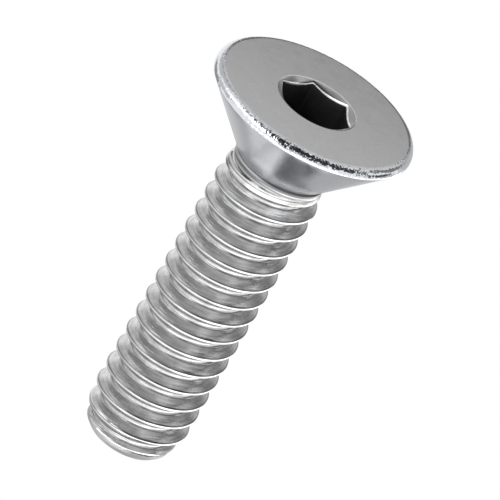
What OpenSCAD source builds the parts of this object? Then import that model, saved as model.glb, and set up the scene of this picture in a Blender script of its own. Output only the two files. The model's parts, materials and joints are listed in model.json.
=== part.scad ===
// Countersunk hex socket screw, 1/4-20 UNC x 1 in, right-hand thread, in millimetres.
// It stands on its head: the flat face lies on z = 0 with its centre at the origin,
// the axis is the Z axis, and the point is at the top.

/* [Head] */
// Diameter of the head at its widest circle
head_d = 12.6; // [12.2:0.05:13.4]
// Radius of the rounded edge between the flat face and the widest circle
edge_r = 0.48; // [0.2:0.02:0.7]
// Included angle of the bearing cone under the head, degrees
cone_angle = 82; // [80:1:92]
// Depth of the fine groove where the cone's foot runs in under the neck
foot_groove = 0.08; // [0.04:0.01:0.12]

/* [Socket] */
// Width of the hex socket across its flats, for a 5/32 in key
socket_af = 4.03; // [3.9:0.01:4.2]
// Depth of the socket's flats below the face
socket_depth = 2.6; // [2.2:0.1:3]
// How far the countersunk mouth reaches past the corners of the hex
mouth_lip = 0.12; // [0.05:0.01:0.3]
// Included angle of the countersunk mouth, degrees
mouth_angle = 120; // [90:5:130]
// How far the pilot hole under the hex stays inside its flats
pilot_step = 0.1; // [0.05:0.05:0.5]
// Included angle of the pilot hole's bottom, degrees
pilot_angle = 130; // [118:1:150]
// Turn of the hex about the axis, degrees
socket_turn = 11.5; // [0:0.5:60]

/* [Shank] */
// Overall length from the flat face to the end of the point
screw_l = 24.75; // [20:0.05:40]
// Diameter of the plain neck, which is that of the blank before rolling
neck_d = 5.64; // [5.5:0.02:5.9]
// Length of the plain neck between the cone and the start of the thread
neck_l = 0.25; // [0.15:0.05:1.5]
// Height of the small ledge where rolling has drawn the blank in below the neck
neck_ledge = 0.03; // [0.02:0.01:0.1]

/* [Thread] */
// Major diameter, over the crests
major_d = 6.2; // [6.12:0.01:6.32]
// Minor diameter, at the bottom of the roots
minor_d = 4.84; // [4.75:0.01:4.95]
// Pitch of the thread, 20 turns to the inch
pitch = 1.27; // [1.2:0.01:1.41]
// Included angle between the flanks, degrees
flank_angle = 60; // [55:1:60]
// Width of the flat on the crest
crest_w = 0.16; // [0.1:0.01:0.22]
// Depth of the rounding at the bottom of the root
root_round = 0.08; // [0.02:0.01:0.12]
// Length of the rolled blank before the groove starts to sink
groove_lead = 0.15; // [0.05:0.05:0.5]
// Length over which the groove sinks from there to its full depth
groove_runout_l = 0.65; // [0.5:0.05:2.5]
// Length over which the crest grows from the blank to the major diameter
crest_runout_l = 1.5; // [0.8:0.05:2.5]
// Direction in which the first crest leaves the neck, degrees about the axis
start_turn = 138; // [0:1:359]

/* [Point] */
// Length of the tapered point
point_l = 1.85; // [1.5:0.05:2.5]
// Angle of the tapered point to the axis, degrees
point_angle = 18.5; // [15:0.5:21]
// How much smaller than the minor diameter the flat end is
end_step = 0.33; // [0.2:0.01:0.6]
// Angle of the chamfer round the flat end to the axis, degrees
end_angle = 45; // [35:1:55]

/* [Hidden] */
$fn = 96;

// Facets round one turn of the thread
facet_count = 36;
// How far a cut starts below the face
cut_past = 0.5;
// How far the rolled shank's body reaches down into the plain neck
shank_sink = 0.1;

head_r = head_d / 2;
face_r = head_r - edge_r;
neck_r = neck_d / 2;
foot_r = neck_r - foot_groove;
cone_half = cone_angle / 2;
cone_end_z = edge_r + (head_r - foot_r) / tan(cone_half);
thread_z = cone_end_z + neck_l;

socket_r = socket_af / (2 * cos(30));
mouth_r = socket_r + mouth_lip;
pilot_r = socket_af / 2 - pilot_step;

major_r = major_d / 2;
minor_r = minor_d / 2;
root_edge_r = minor_r + root_round;
ledge_r = neck_r - neck_ledge;
end_r = minor_r - end_step / 2;

// The profile of one pitch, as [share of the pitch, radius], from the middle of one
// crest towards the point. The crest is a flat, and three points round the root.
flank_w = (major_r - root_edge_r) * tan(flank_angle / 2);
crest_share = crest_w / 2 / pitch;
root_share = (crest_w / 2 + flank_w) / pitch;
one_pitch = [
    [0, major_r],
    [crest_share, major_r],
    [root_share, root_edge_r],
    [0.5, minor_r],
    [1 - root_share, root_edge_r],
    [1 - crest_share, major_r]
];
pitch_lines = len(one_pitch);

// The helical lines of the thread are numbered from one turn before the crest that
// crosses the X axis by the neck. They end past the point. Each column of the grid keeps
// only the lines between the neck and the end, and a ring inside the neck and one round
// the end close it. A line within snap of the neck or the end is left out, so that no
// facet is a sliver.
turns_in_all = ceil((screw_l - thread_z) / pitch) + 2;
last_line = turns_in_all * pitch_lines;
crest_zero_z = thread_z - pitch * start_turn / 360;
snap = pitch / facet_count / 4;

function turn_of(i) = i / facet_count;
function line_share(j) = floor(j / pitch_lines) - 1 + one_pitch[j % pitch_lines][0];
function line_z(i, j) = crest_zero_z + pitch * (turn_of(i) + line_share(j));

low_line = [for (i = [0 : facet_count - 1])
    len([for (j = [0 : last_line]) if (line_z(i, j) <= thread_z + snap) j]) - 1];
high_line = [for (i = [0 : facet_count - 1])
    len([for (j = [0 : last_line]) if (line_z(i, j) < screw_l - snap) j])];

function grid_z(i, j) =
    j <= low_line[i] ? thread_z - shank_sink : j >= high_line[i] ? screw_l : line_z(i, j);

// Radius of the thread. Past the neck the groove sinks into the blank, and the crest grows
// out of it, with the flanks at their full angle. The point cuts the thread down again.
function smooth(x) = x <= 0 ? 0 : x >= 1 ? 1 : x * x * (3 - 2 * x);
function sunk(z) = smooth((z - thread_z - groove_lead) / groove_runout_l);
function groove_r(z) = ledge_r - sunk(z) * (ledge_r - minor_r);
function grown(z) = min(1, max(0, (z - thread_z) / crest_runout_l));
function crest_r(z) = ledge_r + grown(z) * (major_r - ledge_r);
function grown_r(z, r) = max(groove_r(z), min(crest_r(z), r));
function taper_r(z) = major_r - max(0, z - (screw_l - point_l)) * tan(point_angle);
function end_chamfer_r(z) = end_r + (screw_l - z) * tan(end_angle);
function thread_r(z, j) =
    min(grown_r(z, one_pitch[j % pitch_lines][1]), taper_r(z), end_chamfer_r(z));

function grid_point(i, j) =
    let (z = grid_z(i, j), r = thread_r(z, j), a = 360 * turn_of(i))
    [r * cos(a), r * sin(a), z];

// Number of a grid point. One turn on, column 0 is met again one pitch of lines further.
function kept(i, j) = min(max(j, low_line[i]), high_line[i]);
function number_in(i, j) = i * (last_line + 1) + kept(i, j);
function number(i, j) = i < facet_count ? number_in(i, j) : number_in(0, j + pitch_lines);
function triangle(a, b, c) = a == b || b == c || c == a ? [] : [[a, b, c]];

// Quarter circle of the head's rounded edge
module edge_profile() {
    translate([face_r, edge_r]) intersection() {
        circle(r = edge_r);
        translate([-edge_r, -edge_r]) square([2 * edge_r, edge_r]);
    }
}

module head() {
    rotate_extrude() {
        polygon([
            [0, 0],
            [face_r, 0],
            [face_r, edge_r],
            [head_r, edge_r],
            [foot_r, cone_end_z],
            [neck_r, cone_end_z],
            [neck_r, thread_z],
            [0, thread_z]
        ]);
        edge_profile();
    }
}

module socket() {
    mouth_h = mouth_r / tan(mouth_angle / 2);
    rotate([0, 0, socket_turn]) translate([0, 0, -cut_past])
        cylinder(h = cut_past + socket_depth, r = socket_r, $fn = 6);
    translate([0, 0, -cut_past])
        cylinder(h = cut_past + mouth_h, r1 = mouth_r * (1 + cut_past / mouth_h), r2 = 0);
    translate([0, 0, socket_depth])
        cylinder(h = pilot_r / tan(pilot_angle / 2), r1 = pilot_r, r2 = 0);
}

module threaded_shank() {
    points = [for (i = [0 : facet_count - 1], j = [0 : last_line]) grid_point(i, j)];
    sides = [for (i = [0 : facet_count - 1], j = [0 : last_line - 1])
        let (a = number(i, j), b = number(i + 1, j))
        let (c = number(i + 1, j + 1), d = number(i, j + 1))
        each concat(triangle(a, d, c), triangle(a, c, b))];
    neck_cap = [for (i = [0 : facet_count - 1]) number(i, 0)];
    end_cap = [for (i = [facet_count - 1 : -1 : 0]) number(i, last_line)];
    polyhedron(points = points, faces = concat(sides, [neck_cap, end_cap]));
}

module screw() {
    color([0.66, 0.67, 0.68]) union() {
        difference() {
            head();
            socket();
        }
        threaded_shank();
    }
}

screw();
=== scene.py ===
import json
import math

import bpy
from mathutils import Matrix, Vector

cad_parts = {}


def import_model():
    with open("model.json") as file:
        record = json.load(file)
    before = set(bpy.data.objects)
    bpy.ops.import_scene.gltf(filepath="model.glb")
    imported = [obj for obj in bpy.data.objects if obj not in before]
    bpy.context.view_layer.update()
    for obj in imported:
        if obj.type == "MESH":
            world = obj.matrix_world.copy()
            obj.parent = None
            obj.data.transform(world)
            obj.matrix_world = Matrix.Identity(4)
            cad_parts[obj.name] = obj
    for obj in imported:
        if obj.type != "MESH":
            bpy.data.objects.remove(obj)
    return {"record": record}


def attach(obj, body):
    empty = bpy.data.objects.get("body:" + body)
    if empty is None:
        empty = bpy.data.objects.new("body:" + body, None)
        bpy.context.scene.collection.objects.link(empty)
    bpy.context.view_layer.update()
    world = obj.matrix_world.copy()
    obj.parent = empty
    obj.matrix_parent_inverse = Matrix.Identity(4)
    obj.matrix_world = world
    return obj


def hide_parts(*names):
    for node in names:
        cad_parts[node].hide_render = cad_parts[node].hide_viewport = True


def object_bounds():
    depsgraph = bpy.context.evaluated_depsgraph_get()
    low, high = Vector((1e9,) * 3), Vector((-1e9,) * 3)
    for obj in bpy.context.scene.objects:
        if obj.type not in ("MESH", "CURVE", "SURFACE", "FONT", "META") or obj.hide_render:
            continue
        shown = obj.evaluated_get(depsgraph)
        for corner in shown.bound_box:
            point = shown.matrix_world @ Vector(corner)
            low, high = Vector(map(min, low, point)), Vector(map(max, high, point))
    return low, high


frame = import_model()
cad_low, cad_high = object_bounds()

# Sizes are in millimetres. What the frame knows is read from it: the mounts give the two
# radii, and the box gives the length.
MM = 0.001
mounts = {mount["name"]: mount["dims"] for mount in frame["record"]["mounts"]}
HEAD_R = mounts["cone_seat"]["r_mm"]
MAJOR_R = mounts["thread"]["r_mm"]
SCREW_L = round((cad_high.z - cad_low.z) / MM, 2)

# Head
EDGE_R = 0.48
CONE_HALF = 41
CORNER_R = 0.05
NECK_R = 2.82
NECK_L = 0.25
FOOT_GROOVE = 0.08
FOOT_ROUND = 0.06
LEDGE = 0.03
FACE_R = HEAD_R - EDGE_R
FOOT_R = NECK_R - FOOT_GROOVE
CONE_END_Z = EDGE_R + (HEAD_R - FOOT_R) / math.tan(math.radians(CONE_HALF))
THREAD_Z = CONE_END_Z + NECK_L

# Rings of the mesh: radii on the flat face and heights on the neck. The neck's top draws in.
FACE_RINGS = (2.55, 2.8, 3.3, 3.9, 4.5, 5.1, 5.5, 5.75)
NECK_RINGS = (CONE_END_Z + 0.1, THREAD_Z - 0.02)
NECK_TOP_IN = 0.004

# Socket
SOCKET_AF = 4.03
SOCKET_DEPTH = 2.6
SOCKET_TURN = 11.5
MOUTH_R = 2.47
MOUTH_SLOPE = 30
MOUTH_ROUND = 0.16
WALL_ROUND = 0.24
PILOT_R = 1.915
PILOT_SLOPE = 25
FLAT_R = SOCKET_AF / 2
CORNER_REACH = FLAT_R / math.cos(math.radians(30))
HEX_SHARPNESS = 60

# Dents in the rounded edge. They are shallow all round, and grow deeper towards the front.
DENT_SIZE = 0.45
DENT_DEPTH = 0.03
DENT_REST = 0.25
DENT_FRONT_Y = -1.0
DENT_FRONT_L = 3.5
EDGE_MARGIN = 0.05

# Thread
PITCH = 1.27
MINOR_R = 2.42
CREST_W = 0.16
FLANK = 31.5
CREST_ROUND = 0.05
GROOVE_LEAD = 0.15
GROOVE_RUNOUT_L = 0.65
CREST_RUNOUT_L = 1.5
START_TURN = 138
LEDGE_R = NECK_R - LEDGE
CREST_ZERO_Z = THREAD_Z - PITCH * START_TURN / 360

# Point
POINT_L = 1.85
POINT_LEAD = 0.2
POINT_ANGLE = 18.5
END_R = 2.255
END_ANGLE = 45
BLEND = 0.02

# Fineness of the mesh: edges round the head, round one turn of the thread, and along each
# part of their sections
HEAD_STEPS = 384
TURN_STEPS = 144
PILOT_STEPS = 4
WALL_STEPS = 8
WALL_ROUND_STEPS = 6
MOUTH_ROUND_STEPS = 3
EDGE_STEPS = 14
CORNER_STEPS = 3
CONE_STEPS = 14
FOOT_ROUND_STEPS = 3
CREST_ROUND_STEPS = 4
FLANK_STEPS = 5
ROOT_STEPS = 8
SMOOTH_ANGLE = 40

# How near two places are that count as one: in millimetres, and for the mesh in metres
SLACK = 0.01
FINE_SLACK = 0.001
MERGE = MM / 10000
CUT = MM / 1000

# Brightness and tint of the finishes
FACE_TONE = 0.55
# Partly burnished steel and partly painted highlight, brightest where the lips round into the
# walls
LIP_TONE = 0.8
MOUTH_TONE = 0.46
# Painted shade: the socket's dark tone stands in for the shade in the deep recess
SOCKET_SHADE_TONE = 0.16
# Partly burnished by tumbling and partly painted highlight
EDGE_TONE = 0.78
CONE_TONE = 0.54
# Painted shade that darkens the cone towards its foot, where it meets the neck
CONE_FOOT_SHADE = 0.07
NECK_TONE = 0.5
THREAD_TONE = 0.68
END_TONE = 0.52
STEEL_TINT = (0.995, 1.0, 1.01)
COOL_TINT = (0.97, 0.99, 1.035)
PLAIN_TINT = (1.0, 1.0, 1.0)

# Where the finishes meet. A facing is the Z part of a face's normal.
LIP_W = 0.05
SOCKET_FROM_Z = 0.5
WALL_FACING = -0.2
SLOPE_FACING = -0.866
FACING_SLACK = 0.025
EDGE_TOP_Z = EDGE_R + 0.03
CONE_FOOT_START_Z = CONE_END_Z - 1.3
CONE_FOOT_FULL_Z = CONE_END_Z - 0.2
NECK_BAND_TURN = 0.82
NECK_BAND_Z = 5.35
GROWN_START_Z = THREAD_Z + 0.62
GROWN_END_Z = THREAD_Z + 0.85
END_L = 0.6

# Fineness of the edge's dents across and up, per millimetre, and how far to one side their
# front lies
EDGE_GRAIN = (4.8, 4.8, 3.6)
EDGE_FRONT_SLANT = 0.15

# Bands across the thread's pitch, in shares of it, with the crest at 0: where each starts,
# is full, fades and ends. The shades are painted shade, and say by what share a band is darker
# than the flanks. The gain is what the crest is brighter, partly burnished metal and partly
# painted highlight.
CREST_BAND = (-0.045, -0.02, 0.0, 0.015)
CREST_GAIN = 0.12
POINT_FLANK_BAND = (0.015, 0.05, 0.38, 0.46)
POINT_FLANK_SHADE = 0.56
ROOT_SIDE_BAND = (-0.46, -0.43, -0.37, -0.33)
ROOT_SIDE_SHADE = 0.32
# A thin line of painted shade on each crest's side towards the head
HEAD_SIDE_SHADE_BAND = (-0.11, -0.08, -0.05, -0.025)
HEAD_SIDE_SHADE_SHARE = 0.54
ROOT_SHADE = 0.14

# The root's band is the same on both sides, so it only has a start and where it is full
ROOT_BAND = (0.43, 0.46)

# The camera stands below the head's plane and is rolled, as the photograph shows the
# screw. 17.5 pixels of the 500 pixel frame are one millimetre at the screw.
FRAME_PX = 500
PX_PER_MM = 17.5
CAMERA_DROP = 27.4
CAMERA_ROLL = 30.1
LOOK_AT = Vector((-0.886, 0, 10.3)) * MM
LENS = 980
SENSOR = 36
CLIP_NEAR = 0.1
CLIP_FAR = 3

# The studio is in metres and degrees. Lamps and cards stand round the middle of the screw.
# Azimuth 0 is the camera's side, and azimuth 90 is the picture's left.
STUDIO_CENTRE = Vector((0, 0, 0.01))
LAMP_DISTANCE = 0.2
CARD_DISTANCE = 0.25
AMBIENT = 0.7

# Softboxes: name, azimuth, elevation, width, height, and how bright the front looks
SOFTBOXES = [
    ("front_strip_softbox", -5, 11, 0.44, 0.08, 1.4),
    ("low_left_softbox", 62, -45, 0.22, 0.09, 1.35),
    ("right_high_softbox", -115, 28, 0.22, 0.09, 1.25),
    ("front_right_softbox", -55, 34, 0.18, 0.09, 1.9),
    ("front_high_softbox", 2, 57, 0.14, 0.08, 1.5),
]

# Cards: name, azimuth, elevation, width and height as shares of the distance, brightness,
# and the distance where it isn't the usual one
CARDS = [
    ("low_right_card", -44, -53, 1.7, 0.72, 0.05),
    ("bottom_card", -18, -82, 1.0, 0.7, 0.03),
    ("left_bottom_card", 112, -70, 0.5, 0.32, 0.4),
    ("front_low_card", 0, -22, 0.5, 0.3, 0.55),
    ("right_side_card", -108, 9, 0.6, 0.3, 0.6),
    ("front_right_high_card", -55, 66, 0.6, 0.45, 0.05),
    ("right_high_card", -96, 56, 0.5, 0.3, 0.08),
    ("left_high_side_card", 98, 32, 0.5, 0.32, 0.6),
    ("left_back_card", 125, 12, 0.6, 0.5, 0.35),
    ("left_back_high_card", 138, 46, 0.45, 0.5, 0.55),
    ("left_side_card", 98, -10, 0.6, 0.45, 0.62),
    ("left_low_back_card", 140, -34, 0.6, 0.6, 0.58),
    ("right_low_back_card", -135, -35, 0.45, 0.55, 0.22),
    ("right_back_card", -154, -2, 0.85, 1.0, 0.56, 0.26),
    ("right_low_card", -102, -10, 0.6, 0.35, 0.08),
    ("back_strip_card", 180, 36, 0.2, 0.28, 0.1),
    ("back_right_high_card", -158, 50, 0.4, 0.5, 0.6, 0.28),
    ("back_high_card", 180, 48, 0.9, 0.5, 0.75, 0.3),
    ("overhead_card", -174, 69, 0.3, 0.3, 0.02),
]

# The card that the flat face mirrors stands close to it
FACE_CARD = ("face_card", 180, -13.4, 0.6, 0.5, 0.24, 0.06)

# The floor, and the lamp that gives the screw a shadow on it
FLOOR_SIZE = 2.0
FLOOR_TONE = 0.85
FLOOR_GAP = 0.05
FLOOR_ROUGHNESS = 0.9
FLOOR_SHINE = 0.2
OVERHEAD_LAMP = ("overhead_lamp", 30, 70, 0.08, 0.08, 6.0)


def alone(obj):
    """Selects obj and nothing else."""
    bpy.ops.object.select_all(action="DESELECT")
    obj.select_set(True)
    bpy.context.view_layer.objects.active = obj


def smooth_step(x):
    """Goes smoothly from 0 to 1 as x does. It stays 0 before that and 1 after it."""
    x = min(max(x, 0.0), 1.0)
    return x * x * (3 - 2 * x)


def arc(centre, radius, first, last, steps):
    """Points of an arc in the (radius, height) plane. 0 degrees is outward, 90 upward."""
    angles = [math.radians(first + (last - first) * i / steps) for i in range(steps + 1)]
    return [(centre[0] + radius * math.cos(a), centre[1] + radius * math.sin(a)) for a in angles]


def between(a, b, parts):
    """The inner points that divide the line from a to b."""
    shares = [i / parts for i in range(1, parts)]
    return [(a[0] + (b[0] - a[0]) * s, a[1] + (b[1] - a[1]) * s) for s in shares]


def drawn_line(name, points, turn=0.0):
    """A chain of edges through (radius, height) points, in a half plane turned about Z."""
    bpy.ops.object.select_all(action="DESELECT")
    bpy.ops.mesh.primitive_plane_add(size=MM)
    obj = bpy.context.object
    obj.name = obj.data.name = name
    bpy.ops.object.mode_set(mode="EDIT")
    bpy.ops.mesh.select_all(action="SELECT")
    bpy.ops.mesh.merge(type="CENTER")
    out = Vector((math.cos(turn), math.sin(turn), 0)) * MM
    up = Vector((0, 0, MM))
    bpy.ops.transform.translate(value=points[0][0] * out + points[0][1] * up)
    for (r0, z0), (r1, z1) in zip(points, points[1:]):
        step = (r1 - r0) * out + (z1 - z0) * up
        bpy.ops.mesh.extrude_region_move(TRANSFORM_OT_translate={"value": step})
    return obj


def wall_start():
    """Radius at which the mouth's slope rounds into the socket's wall, at a corner of the hex."""
    return CORNER_REACH + WALL_ROUND * (1 - math.sin(math.radians(MOUTH_SLOPE)))


def hex_radius(angle):
    """Radius of the hex socket's wall at an angle, with slightly rounded corners."""
    total = 0.0
    for side in range(6):
        facing = math.cos(angle - math.radians(SOCKET_TURN + 30 + 60 * side))
        total += max(facing, 0.0) ** HEX_SHARPNESS
    return FLAT_R / total ** (1 / HEX_SHARPNESS)


def socket_line():
    """Section of the socket from the bottom of the pilot hole out to the flat face."""
    slope = math.radians(MOUTH_SLOPE)
    pilot_z = SOCKET_DEPTH + PILOT_R * math.tan(math.radians(PILOT_SLOPE))
    pilot_top = (PILOT_R, SOCKET_DEPTH)
    round_z = (MOUTH_R - wall_start()) * math.tan(slope) + WALL_ROUND * math.cos(slope)
    wall_foot = (CORNER_REACH, SOCKET_DEPTH)
    wall_top = (CORNER_REACH, round_z)
    points = [(0, pilot_z)] + between((0, pilot_z), pilot_top, PILOT_STEPS)
    points += [pilot_top, wall_foot] + between(wall_foot, wall_top, WALL_STEPS)
    wall_centre = (CORNER_REACH + WALL_ROUND, round_z)
    points += arc(wall_centre, WALL_ROUND, 180, 270 - MOUTH_SLOPE, WALL_ROUND_STEPS)
    mouth_centre = (MOUTH_R + MOUTH_ROUND * math.tan(slope / 2), MOUTH_ROUND)
    return points + arc(mouth_centre, MOUTH_ROUND, 270 - MOUTH_SLOPE, 270, MOUTH_ROUND_STEPS)


def head_line():
    """Section of the head from the bottom of the pilot hole round to the top of the neck."""
    points = socket_line() + [(r, 0) for r in FACE_RINGS]
    points += arc((FACE_R, EDGE_R), EDGE_R, 270, 360, EDGE_STEPS)
    reach = CORNER_R * math.tan(math.radians(CONE_HALF) / 2)
    corner_centre = (HEAD_R - CORNER_R, EDGE_R + reach / 2)
    points += arc(corner_centre, CORNER_R, 0, CONE_HALF, CORNER_STEPS)
    foot = (FOOT_R, CONE_END_Z)
    points += between(points[-1], foot, CONE_STEPS) + [foot]
    foot_centre = (NECK_R - FOOT_ROUND, CONE_END_Z + FOOT_ROUND)
    points += arc(foot_centre, FOOT_ROUND, 270, 360, FOOT_ROUND_STEPS)
    points += [(NECK_R, z) for z in NECK_RINGS]
    return points + [(NECK_R - NECK_TOP_IN, THREAD_Z)]


def head():
    """The head, cone and neck, turned about the axis, with the hex socket pressed into it."""
    obj = drawn_line("head", head_line(), math.radians(SOCKET_TURN))
    bpy.ops.mesh.select_all(action="SELECT")
    bpy.ops.mesh.spin(steps=HEAD_STEPS, angle=2 * math.pi, center=(0, 0, 0), axis=(0, 0, 1))
    bpy.ops.mesh.select_all(action="SELECT")
    bpy.ops.mesh.remove_doubles(threshold=MERGE)
    bpy.ops.object.mode_set(mode="OBJECT")
    press_hex(obj)
    dent_edge(obj)
    return obj


def press_hex(obj):
    """Pulls the socket's round wall in to the six flats, and its top down the mouth's slope."""
    slope = math.tan(math.radians(MOUTH_SLOPE))
    for vertex in obj.data.vertices:
        place = vertex.co / MM
        radius = math.hypot(place.x, place.y)
        on_wall = PILOT_R + SLACK < radius < wall_start() + FINE_SLACK
        if not on_wall or place.z > SOCKET_DEPTH + SLACK:
            continue
        pull = CORNER_REACH - hex_radius(math.atan2(place.y, place.x))
        share = min(1.0, (SOCKET_DEPTH - place.z) / (SOCKET_DEPTH - WALL_ROUND))
        vertex.co.x *= (radius - pull) / radius
        vertex.co.y *= (radius - pull) / radius
        vertex.co.z += pull * slope * share * MM


def dent_edge(obj):
    """Small dents in the rounded edge, deeper at the front, pressed in by a Displace modifier."""
    dented = obj.vertex_groups.new(name="dented_edge")
    for vertex in obj.data.vertices:
        place = vertex.co / MM
        radius = math.hypot(place.x, place.y)
        if radius < FACE_R + EDGE_MARGIN or place.z > EDGE_R + EDGE_MARGIN:
            continue
        front = smooth_step((DENT_FRONT_Y - place.y) / DENT_FRONT_L)
        dented.add([vertex.index], DENT_REST + (1 - DENT_REST) * front, "REPLACE")
    clouds = bpy.data.textures.new("edge_dents", "CLOUDS")
    clouds.noise_scale = DENT_SIZE * MM
    dents = obj.modifiers.new("dents", "DISPLACE")
    dents.texture = clouds
    dents.texture_coords = "LOCAL"
    dents.vertex_group = dented.name
    dents.strength = DENT_DEPTH * MM
    dents.mid_level = 1.0
    alone(obj)
    bpy.ops.object.modifier_apply(modifier=dents.name)


def pitch_line():
    """One pitch of the thread, crest to crest: a flat crest, straight flanks, a round root."""
    flank = math.radians(FLANK)
    half_crest = CREST_W / 2
    corner = half_crest - CREST_ROUND * math.tan((math.pi / 2 - flank) / 2)
    crest_r = MAJOR_R - CREST_ROUND
    root_tip = MAJOR_R - (PITCH / 2 - half_crest) / math.tan(flank)
    root_round = (MINOR_R - root_tip) / (1 / math.sin(flank) - 1)
    crest = [(MAJOR_R, 0)]
    crest += arc((crest_r, corner), CREST_ROUND, 0, 90 - FLANK, CREST_ROUND_STEPS)
    root_centre = (MINOR_R + root_round, PITCH / 2)
    root = arc(root_centre, root_round, 270 - FLANK, 90 + FLANK, ROOT_STEPS)
    next_crest = arc((crest_r, PITCH - corner), CREST_ROUND, FLANK - 90, 0, CREST_ROUND_STEPS)
    next_crest += [(MAJOR_R, PITCH)]
    down = between(crest[-1], root[0], FLANK_STEPS)
    up = between(root[-1], next_crest[0], FLANK_STEPS)
    return crest + down + root + up + next_crest


def lower_of(a, b):
    """The smaller of two radii, with the edge between them a little rounded."""
    return -BLEND * math.log(math.exp(-a / BLEND) + math.exp(-b / BLEND))


def shank_radius(radius, z):
    """Past the neck the groove sinks in and the crest grows, and the point cuts them down."""
    sunk = smooth_step((z - THREAD_Z - GROOVE_LEAD) / GROOVE_RUNOUT_L)
    groove = LEDGE_R - sunk * (LEDGE_R - MINOR_R)
    risen = min(max((z - THREAD_Z) / CREST_RUNOUT_L, 0.0), 1.0)
    crest = LEDGE_R + risen * (MAJOR_R - LEDGE_R)
    grown = max(groove, min(crest, radius))
    point_start = SCREW_L - POINT_L
    if z < point_start - POINT_LEAD:
        return grown
    taper = MAJOR_R + BLEND - max(0.0, z - point_start) * math.tan(math.radians(POINT_ANGLE))
    end = END_R + (SCREW_L - z) * math.tan(math.radians(END_ANGLE))
    return lower_of(grown, lower_of(taper, end))


def thread():
    """The rolled shank: one pitch turned and raised by a Screw modifier, run out and cut off."""
    obj = drawn_line("thread", pitch_line())
    bpy.ops.object.mode_set(mode="OBJECT")
    turns = obj.modifiers.new("turns", "SCREW")
    turns.axis = "Z"
    turns.angle = 2 * math.pi
    turns.screw_offset = PITCH * MM
    turns.iterations = math.ceil((SCREW_L - THREAD_Z) / PITCH) + 2
    turns.steps = turns.render_steps = TURN_STEPS
    turns.use_merge_vertices = True
    turns.merge_threshold = MERGE
    alone(obj)
    bpy.ops.object.modifier_apply(modifier=turns.name)
    run_out(obj)
    cut_off(obj)
    return obj


def run_out(obj):
    """Moves the turns to their place, lets them run out at the neck and brings them to a point."""
    for vertex in obj.data.vertices:
        vertex.co.z += (CREST_ZERO_Z - PITCH) * MM
        place = vertex.co / MM
        radius = math.hypot(place.x, place.y)
        scale = shank_radius(radius, place.z) / radius
        vertex.co.x *= scale
        vertex.co.y *= scale


def cut_off(obj):
    """Cuts the turns off at the neck and at the screw's end, and closes the end."""
    bpy.ops.object.mode_set(mode="EDIT")
    bpy.ops.mesh.select_all(action="SELECT")
    bpy.ops.mesh.remove_doubles(threshold=MERGE)
    bpy.ops.mesh.bisect(
        plane_co=(0, 0, THREAD_Z * MM), plane_no=(0, 0, 1), clear_inner=True, threshold=CUT
    )
    bpy.ops.mesh.select_all(action="SELECT")
    bpy.ops.mesh.bisect(
        plane_co=(0, 0, SCREW_L * MM),
        plane_no=(0, 0, 1),
        clear_outer=True,
        use_fill=True,
        threshold=CUT,
    )
    bpy.ops.object.mode_set(mode="OBJECT")


def joined_screw():
    """Head and shank made one closed mesh, joined by the small ledge above the neck."""
    parts = [head(), thread()]
    bpy.ops.object.select_all(action="DESELECT")
    for part in parts:
        part.select_set(True)
    obj = parts[0]
    bpy.context.view_layer.objects.active = obj
    bpy.ops.object.join()
    obj.name = obj.data.name = "machine_screw"
    bpy.ops.object.mode_set(mode="EDIT")
    bpy.ops.mesh.select_mode(type="EDGE")
    bpy.ops.mesh.select_all(action="DESELECT")
    bpy.ops.mesh.select_non_manifold(
        extend=False,
        use_wire=False,
        use_boundary=True,
        use_multi_face=False,
        use_non_contiguous=False,
        use_verts=False,
    )
    bpy.ops.mesh.fill(use_beauty=False)
    bpy.ops.mesh.select_all(action="SELECT")
    bpy.ops.mesh.normals_make_consistent(inside=False)
    bpy.ops.object.mode_set(mode="OBJECT")
    alone(obj)
    bpy.ops.object.shade_smooth_by_angle(angle=math.radians(SMOOTH_ANGLE))
    return obj


def node(tree, kind, options=None, **values):
    """Adds a node and returns its first output.

    A value is a number, a colour or another node's socket. _0 stands for input 0, and an
    underscore inside a name for a space."""
    made = tree.nodes.new(kind)
    for option, choice in (options or {}).items():
        setattr(made, option, choice)
    for key, value in values.items():
        number = key[1:]
        socket = made.inputs[int(number) if number.isdigit() else key.replace("_", " ")]
        if isinstance(value, bpy.types.NodeSocket):
            tree.links.new(value, socket)
        else:
            socket.default_value = value
    return made.outputs[0]


def calc(tree, operation, a, b=0.0, c=0.0):
    """A Math node."""
    return node(tree, "ShaderNodeMath", {"operation": operation}, _0=a, _1=b, _2=c)


def step_between(tree, value, low, high, first=0.0, last=1.0):
    """Goes smoothly from first to last as value goes from low to high."""
    return node(
        tree, "ShaderNodeMapRange", {"interpolation_type": "SMOOTHSTEP"},
        Value=value, From_Min=low, From_Max=high, To_Min=first, To_Max=last,
    )


def band(tree, value, start, full, fade, end):
    """1 where value lies between full and fade, 0 before start and past end."""
    rise = step_between(tree, value, start, full)
    return calc(tree, "MULTIPLY", rise, step_between(tree, value, fade, end, 1.0, 0.0))


def darkened(tree, value, mask, share):
    """The value, darker by the share where the mask is 1."""
    return calc(tree, "MULTIPLY", value, calc(tree, "MULTIPLY_ADD", mask, -share, 1.0))


def mm_place(tree):
    """The place on the screw in millimetres, as a vector."""
    place = tree.nodes.new("ShaderNodeTexCoord").outputs["Object"]
    return node(tree, "ShaderNodeVectorMath", {"operation": "SCALE"}, _0=place, Scale=1 / MM)


def mm_axes(tree):
    """The place on the screw in millimetres, as its X, Y and Z."""
    axes = tree.nodes.new("ShaderNodeSeparateXYZ")
    tree.links.new(mm_place(tree), axes.inputs[0])
    return axes.outputs


def noise_at(tree, vector, scale, detail=2.0, roughness=0.5):
    """A noise pattern from 0 to 1."""
    return node(
        tree, "ShaderNodeTexNoise", Vector=vector, Scale=scale, Detail=detail, Roughness=roughness
    )


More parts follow.
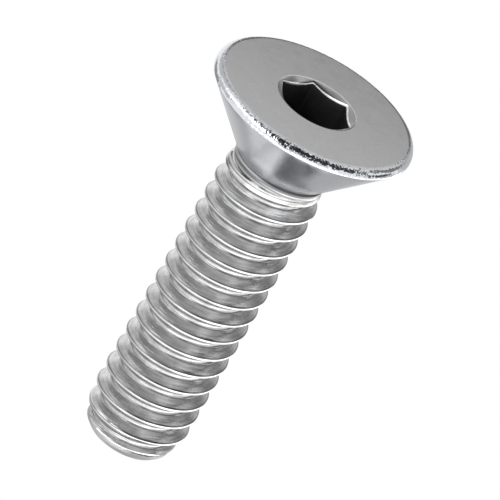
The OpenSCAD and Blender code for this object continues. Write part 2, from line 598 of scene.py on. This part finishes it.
def drawn_out_noise(tree, axes, squeeze, up):
    """A noise pattern that is drawn out round the axis. It changes up the axis as up does."""
    vector = node(
        tree, "ShaderNodeCombineXYZ",
        X=calc(tree, "MULTIPLY", axes["X"], squeeze),
        Y=calc(tree, "MULTIPLY", axes["Y"], squeeze),
        Z=up,
    )
    return noise_at(tree, vector, 1.0, 3.0)


def shared_group(name, inputs, outputs):
    """A new node group with its sockets, and its two end nodes."""
    tree = bpy.data.node_groups.new(name, "ShaderNodeTree")
    for label, value in inputs.items():
        socket = tree.interface.new_socket(label, in_out="INPUT", socket_type="NodeSocketFloat")
        socket.default_value = value
    for label in outputs:
        tree.interface.new_socket(label, in_out="OUTPUT", socket_type="NodeSocketFloat")
    return tree, tree.nodes.new("NodeGroupInput"), tree.nodes.new("NodeGroupOutput")


def mottling_group():
    """Soft clouding of a steel surface: a factor round 1, from blotches and finer grain.

    The grain is seven times finer and counts half, so the two average 0.75 together."""
    tree, given, result = shared_group("mottling", {"Size": 1.0, "Amount": 0.1}, ["Factor"])
    place = mm_place(tree)
    blotches = noise_at(tree, place, calc(tree, "DIVIDE", 1.0, given.outputs["Size"]), 3.0)
    grain = noise_at(tree, place, calc(tree, "DIVIDE", 7.0, given.outputs["Size"]))
    both = calc(tree, "MULTIPLY_ADD", grain, 0.5, blotches)
    centred = calc(tree, "SUBTRACT", both, 0.75)
    amount = calc(tree, "MULTIPLY", given.outputs["Amount"], 2.0)
    swing = calc(tree, "MULTIPLY", centred, amount)
    tree.links.new(calc(tree, "ADD", swing, 1.0), result.inputs["Factor"])
    return tree


def turning_group():
    """Fine lines round the axis, as forming and tumbling leave them on the head: 0 to 1."""
    tree, given, result = shared_group("turning_lines", {"Lines": 6.0, "Round": 0.4}, ["Height"])
    axes = mm_axes(tree)
    y_squared = calc(tree, "MULTIPLY", axes["Y"], axes["Y"])
    radius = calc(tree, "SQRT", calc(tree, "MULTIPLY_ADD", axes["X"], axes["X"], y_squared))
    slant = calc(tree, "SUBTRACT", axes["Z"], radius)
    up = calc(tree, "MULTIPLY", slant, given.outputs["Lines"])
    lines = drawn_out_noise(tree, axes, given.outputs["Round"], up)
    tree.links.new(lines, result.inputs["Height"])
    return tree


def helix_group():
    """Where a point lies on the thread.

    Phase is 0 on a crest, below 0 towards the head and above 0 towards the point, in shares
    of the pitch. Streaks run along the helix."""
    sockets = {"Lines": 12.0, "Round": 0.7}
    tree, given, result = shared_group("helix_place", sockets, ["Phase", "Streaks"])
    axes = mm_axes(tree)
    angle = calc(tree, "DIVIDE", calc(tree, "ARCTAN2", axes["Y"], axes["X"]), 2 * math.pi)
    height = calc(tree, "DIVIDE", calc(tree, "SUBTRACT", axes["Z"], CREST_ZERO_Z), PITCH)
    turned = calc(tree, "ADD", calc(tree, "SUBTRACT", height, angle), 0.5)
    phase = calc(tree, "SUBTRACT", calc(tree, "FRACT", turned), 0.5)
    up = calc(tree, "MULTIPLY_ADD", phase, given.outputs["Lines"], axes["Z"])
    streaks = drawn_out_noise(tree, axes, given.outputs["Round"], up)
    tree.links.new(phase, result.inputs["Phase"])
    tree.links.new(streaks, result.inputs["Streaks"])
    return tree


def placed(tree, shared, **values):
    """Puts a shared group in a material's tree, and returns its outputs."""
    made = tree.nodes.new("ShaderNodeGroup")
    made.node_tree = shared
    for key, value in values.items():
        made.inputs[key].default_value = value
    return made.outputs


def bare_steel(name, roughness):
    """A metal material with its shader. The finishes wire in its colour and its detail."""
    material = bpy.data.materials.new(name)
    material.use_nodes = True
    shader = material.node_tree.nodes["Principled BSDF"]
    shader.inputs["Metallic"].default_value = 1.0
    shader.inputs["Roughness"].default_value = roughness
    return material, material.node_tree, shader


def clouded(tree, tone, size, amount):
    """A brightness with soft clouding, whose blotches are about size millimetres."""
    cloud = placed(tree, MOTTLING, Size=size, Amount=amount)["Factor"]
    return calc(tree, "MULTIPLY", cloud, tone)


def coloured(tree, shader, value, tint=STEEL_TINT):
    """Feeds a brightness, tinted as stainless steel, to the shader's colour."""
    colour = node(tree, "ShaderNodeVectorMath", {"operation": "SCALE"}, _0=tint, Scale=value)
    tree.links.new(colour, shader.inputs["Base Color"])


def embossed(tree, shader, height, depth):
    """Feeds a height from 0 to 1 to the shader as a bump of the given depth in millimetres."""
    bump = node(tree, "ShaderNodeBump", Strength=1.0, Distance=depth * MM, Height=height)
    tree.links.new(bump, shader.inputs["Normal"])


def face_steel():
    """The flat face: pressed and tumbled, satin, with a soft grain."""
    material, tree, shader = bare_steel("face_steel", roughness=0.3)
    grain = noise_at(tree, mm_place(tree), scale=1.3)
    coloured(tree, shader, clouded(tree, FACE_TONE, size=1.3, amount=0.05), PLAIN_TINT)
    satin = step_between(tree, grain, low=0.25, high=0.75, first=0.26, last=0.33)
    tree.links.new(satin, shader.inputs["Roughness"])
    embossed(tree, shader, grain, depth=0.0015)
    return material


def lip_steel():
    """The socket's lips, between face and mouth and between mouth and walls: brighter further in.
    """
    material, tree, shader = bare_steel("lip_steel", roughness=0.2)
    height = mm_axes(tree)["Z"]
    # Brighter further in: partly burnished, partly painted highlight
    polish_and_highlight = step_between(tree, height, low=0.03, high=0.08, first=0.6, last=LIP_TONE)
    coloured(tree, shader, clouded(tree, polish_and_highlight, size=0.3, amount=0.3))
    return material


def mouth_steel():
    """The countersunk mouth of the socket."""
    material, tree, shader = bare_steel("mouth_steel", roughness=0.25)
    coloured(tree, shader, clouded(tree, MOUTH_TONE, size=0.5, amount=0.1))
    return material


def socket_steel():
    """The punched walls and bottom of the socket: dull, and dark with painted shade of the recess.
    """
    material, tree, shader = bare_steel("socket_steel", roughness=0.45)
    coloured(tree, shader, clouded(tree, SOCKET_SHADE_TONE, size=0.8, amount=0.25), PLAIN_TINT)
    return material


def edge_steel():
    """The rounded edge, with the dents of tumbling, which are deepest at the front.

    It brightens away from the face, partly burnished by tumbling and partly painted highlight.
    """
    material, tree, shader = bare_steel("edge_steel", roughness=0.1)
    axes = mm_axes(tree)
    finer = node(
        tree, "ShaderNodeVectorMath", {"operation": "MULTIPLY"}, _0=mm_place(tree), _1=EDGE_GRAIN
    )
    side = calc(tree, "MULTIPLY_ADD", axes["X"], EDGE_FRONT_SLANT, axes["Y"])
    front = step_between(tree, side, low=-5.7, high=-4.0, first=1.0, last=0.3)
    dents = calc(tree, "MULTIPLY", noise_at(tree, finer, scale=1.0, detail=1.5), front)
    # Brighter away from the face: partly burnished, partly painted highlight
    polish_and_highlight = step_between(tree, axes["Z"], low=0.01, high=0.07, first=0.5, last=EDGE_TONE)
    coloured(tree, shader, clouded(tree, polish_and_highlight, size=0.4, amount=0.06), COOL_TINT)
    embossed(tree, shader, dents, depth=0.07)
    return material


def cone_steel():
    """The cone: smooth from the die, duller near its foot, with fine lines round the axis.

    Near its foot, where it meets the neck, painted shade darkens it.
    """
    material, tree, shader = bare_steel("cone_steel", roughness=0.2)
    height = mm_axes(tree)["Z"]
    lines = placed(tree, TURNING, Lines=13.0, Round=0.25)["Height"]
    foot = step_between(tree, height, CONE_FOOT_START_Z, CONE_FOOT_FULL_Z, first=0.06)
    tone = calc(tree, "MULTIPLY_ADD", foot, -CONE_FOOT_SHADE, CONE_TONE)
    coloured(tree, shader, clouded(tree, tone, size=0.9, amount=0.06), COOL_TINT)
    satin = step_between(tree, foot, low=0.0, high=1.0, first=0.2, last=0.25)
    tree.links.new(satin, shader.inputs["Roughness"])
    embossed(tree, shader, calc(tree, "MULTIPLY", lines, foot), depth=0.016)
    return material


def neck_steel():
    """The neck and the blank before the first crest: fine rings drawn by the dies, made dark with
    painted shade.
    """
    material, tree, shader = bare_steel("neck_steel", roughness=0.35)
    lines = placed(tree, TURNING, Lines=11.0, Round=0.15)["Height"]
    # Painted shade makes the die's fine rings dark
    rings = step_between(tree, lines, low=0.42, high=0.56, first=0.13, last=NECK_TONE)
    coloured(tree, shader, clouded(tree, rings, size=0.5, amount=0.1), PLAIN_TINT)
    embossed(tree, shader, lines, depth=0.018)
    return material


def thread_steel():
    """The rolled thread, with streaks along the helix and crests brighter than the flanks.

    The crests' brightness is partly burnished metal and partly painted highlight. Painted shade
    darkens the roots, the flanks facing the head near the root, and a thin line on each crest's
    head side. The flank that faces the point gets the darkest painted shade, but not yet on the
    first crest, which is still growing."""
    material, tree, shader = bare_steel("thread_steel", roughness=0.25)
    helix = placed(tree, HELIX, Lines=14.0, Round=0.8)
    phase = helix["Phase"]
    grown = step_between(tree, mm_axes(tree)["Z"], GROWN_START_Z, GROWN_END_Z)
    point_flank = calc(tree, "MULTIPLY", band(tree, phase, *POINT_FLANK_BAND), grown)
    root = step_between(tree, calc(tree, "ABSOLUTE", phase), *ROOT_BAND)
    streaks = step_between(tree, helix["Streaks"], low=0.35, high=0.65, first=0.88, last=1.1)
    tone = clouded(tree, calc(tree, "MULTIPLY", streaks, THREAD_TONE), size=0.35, amount=0.2)
    # Painted shade on the bands, and partly painted highlight on the crest
    tone = darkened(tree, tone, point_flank, POINT_FLANK_SHADE)
    tone = darkened(tree, tone, band(tree, phase, *ROOT_SIDE_BAND), ROOT_SIDE_SHADE)
    tone = darkened(tree, tone, band(tree, phase, *HEAD_SIDE_SHADE_BAND), HEAD_SIDE_SHADE_SHARE)
    tone = darkened(tree, tone, root, ROOT_SHADE)
    tone = calc(tree, "MULTIPLY_ADD", band(tree, phase, *CREST_BAND), CREST_GAIN, tone)
    coloured(tree, shader, tone, PLAIN_TINT)
    embossed(tree, shader, helix["Streaks"], depth=0.018)
    return material


def end_steel():
    """The chamfer and the flat end, sheared and tumbled."""
    material, tree, shader = bare_steel("end_steel", roughness=0.45)
    grain = noise_at(tree, mm_place(tree), scale=4.0, detail=3.0, roughness=0.6)
    coloured(tree, shader, clouded(tree, END_TONE, size=0.5, amount=0.18))
    embossed(tree, shader, grain, depth=0.02)
    return material


# The finishes, in the order of the mesh's material slots
FINISHES = {
    "face": face_steel,
    "lip": lip_steel,
    "mouth": mouth_steel,
    "socket": socket_steel,
    "edge": edge_steel,
    "cone": cone_steel,
    "neck": neck_steel,
    "thread": thread_steel,
    "end": end_steel,
}


def finish_at(centre, normal):
    """Name of the finish on the part of the screw where a face lies."""
    radius = math.hypot(centre.x, centre.y)
    turn = (centre.z - CREST_ZERO_Z) / PITCH - math.atan2(centre.y, centre.x) / (2 * math.pi)
    before_crest = CONE_END_Z < centre.z < NECK_BAND_Z and turn < NECK_BAND_TURN
    if before_crest and radius > FOOT_R + SLACK:
        return "neck"
    if centre.z > THREAD_Z:
        return "end" if centre.z > SCREW_L - END_L else "thread"
    if radius < MOUTH_R + LIP_W:
        if centre.z > SOCKET_FROM_Z or normal.z > WALL_FACING:
            return "socket"
        return "mouth" if abs(normal.z - SLOPE_FACING) < FACING_SLACK else "lip"
    if centre.z < FINE_SLACK:
        return "face"
    return "edge" if centre.z < EDGE_TOP_Z else "cone"


def finish(obj):
    """Gives each part of the screw's surface its finish."""
    order = list(FINISHES)
    obj.data.materials.clear()
    for make in FINISHES.values():
        obj.data.materials.append(make())
    for face in obj.data.polygons:
        face.material_index = order.index(finish_at(face.center / MM, face.normal))


def camera():
    """The camera: it looks along +Y and up at the flat face, rolled about its line of sight."""
    drop = math.radians(CAMERA_DROP)
    roll = math.radians(CAMERA_ROLL)
    ahead = Vector((0, math.cos(drop), math.sin(drop)))
    level = Vector((1, 0, 0))
    axis_up = Vector((0, -math.sin(drop), math.cos(drop)))
    right = -math.sin(roll) * axis_up - math.cos(roll) * level
    up = -math.cos(roll) * axis_up + math.sin(roll) * level
    distance = LENS / SENSOR * FRAME_PX / PX_PER_MM * MM
    data = bpy.data.cameras.new("camera")
    data.lens = LENS
    data.sensor_width = SENSOR
    data.clip_start = CLIP_NEAR
    data.clip_end = CLIP_FAR
    obj = bpy.data.objects.new("camera", data)
    bpy.context.scene.collection.objects.link(obj)
    turn = Matrix((right, up, -ahead)).transposed().to_4x4()
    obj.matrix_world = Matrix.Translation(LOOK_AT - ahead * distance) @ turn
    bpy.context.scene.camera = obj


def aim(obj, azimuth, elevation, distance, centre=STUDIO_CENTRE):
    """Puts obj where it is seen from the centre, and turns its -Z side to the centre."""
    side = math.radians(azimuth)
    rise = math.radians(elevation)
    level = math.cos(rise)
    out = Vector((math.sin(side) * level, -math.cos(side) * level, math.sin(rise)))
    turn = out.to_track_quat("Z", "Y").to_matrix().to_4x4()
    obj.matrix_world = Matrix.Translation(centre + out * distance) @ turn


def softbox(name, azimuth, elevation, width, height, level):
    """A lamp with an even front, which lights only by being mirrored in the steel."""
    data = bpy.data.lights.new(name, "AREA")
    data.shape = "RECTANGLE"
    data.size = width
    data.size_y = height
    data.energy = level * math.pi * width * height
    obj = bpy.data.objects.new(name, data)
    bpy.context.scene.collection.objects.link(obj)
    aim(obj, azimuth, elevation, LAMP_DISTANCE)
    obj.visible_camera = False
    obj.visible_diffuse = False
    return obj


def card_paint(name, level):
    """Plain paint of a card: an even glow, painted light in place of the light on a real card."""
    material = bpy.data.materials.new(name)
    material.use_nodes = True
    tree = material.node_tree
    tree.nodes.clear()
    paint = tree.nodes.new("ShaderNodeEmission")
    paint.inputs["Color"].default_value = (level, level, level, 1)
    result = tree.nodes.new("ShaderNodeOutputMaterial")
    tree.links.new(paint.outputs["Emission"], result.inputs["Surface"])
    material.cycles.emission_sampling = "NONE"
    return material


def card(
    name, azimuth, elevation, width, height, level, distance=CARD_DISTANCE, centre=STUDIO_CENTRE
):
    """A grey card that only the screw's reflections show. Its brightness is a painted glow."""
    bpy.ops.object.select_all(action="DESELECT")
    bpy.ops.mesh.primitive_plane_add(size=1)
    obj = bpy.context.object
    obj.name = obj.data.name = name
    obj.scale = (width * distance, height * distance, 1)
    bpy.ops.object.transform_apply(location=False, rotation=False, scale=True)
    aim(obj, azimuth, elevation, distance, centre)
    bpy.ops.object.transform_apply(location=True, rotation=True, scale=True)
    obj.data.materials.append(card_paint(name, level))
    obj.visible_camera = False
    obj.visible_diffuse = False
    obj.visible_shadow = False


def studio():
    """Softboxes and cards round the screw, in white surroundings."""
    for row in SOFTBOXES:
        softbox(*row)
    for row in CARDS:
        card(*row)
    card(*FACE_CARD, centre=Vector((0, 0, 0)))


def floor_paint():
    """Pale paint of the floor. Seen from below, where the camera stands, the floor is clear."""
    material = bpy.data.materials.new("pale_floor")
    material.use_nodes = True
    tree = material.node_tree
    paint = tree.nodes["Principled BSDF"]
    paint.inputs["Base Color"].default_value = (FLOOR_TONE, FLOOR_TONE, FLOOR_TONE, 1)
    paint.inputs["Roughness"].default_value = FLOOR_ROUGHNESS
    paint.inputs["Specular IOR Level"].default_value = FLOOR_SHINE
    side = tree.nodes.new("ShaderNodeNewGeometry")
    clear = tree.nodes.new("ShaderNodeBsdfTransparent")
    mix = tree.nodes.new("ShaderNodeMixShader")
    tree.links.new(side.outputs["Backfacing"], mix.inputs["Fac"])
    tree.links.new(paint.outputs["BSDF"], mix.inputs[1])
    tree.links.new(clear.outputs["BSDF"], mix.inputs[2])
    tree.links.new(mix.outputs["Shader"], tree.nodes["Material Output"].inputs["Surface"])
    return material


def floor():
    """The floor under the head's face, and a lamp over it, which the steel doesn't mirror."""
    bpy.ops.object.select_all(action="DESELECT")
    bpy.ops.mesh.primitive_plane_add(size=FLOOR_SIZE, location=(0, 0, -FLOOR_GAP * MM))
    obj = bpy.context.object
    obj.name = obj.data.name = "floor"
    bpy.ops.object.transform_apply(location=True, rotation=True, scale=True)
    obj.data.materials.append(floor_paint())
    obj.visible_glossy = False
    lamp = softbox(*OVERHEAD_LAMP)
    lamp.visible_diffuse = True
    lamp.visible_glossy = False


def world():
    """White surroundings for the camera and for reflections, and plain soft light for the rest."""
    surroundings = bpy.data.worlds.new("studio")
    bpy.context.scene.world = surroundings
    surroundings.use_nodes = True
    tree = surroundings.node_tree
    background = tree.nodes["Background"]
    rays = tree.nodes.new("ShaderNodeLightPath").outputs
    seen = calc(tree, "MAXIMUM", rays["Is Camera Ray"], rays["Is Glossy Ray"])
    seen = calc(tree, "MAXIMUM", seen, rays["Is Transmission Ray"])
    strength = calc(tree, "MULTIPLY_ADD", seen, 1.0 - AMBIENT, AMBIENT)
    background.inputs["Color"].default_value = (1, 1, 1, 1)
    tree.links.new(strength, background.inputs["Strength"])


MOTTLING = mottling_group()
TURNING = turning_group()
HELIX = helix_group()

screw = joined_screw()
finish(screw)
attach(screw, "root")
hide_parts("screw")

camera()
studio()
floor()
world()
bpy.context.scene.view_settings.view_transform = "Standard"
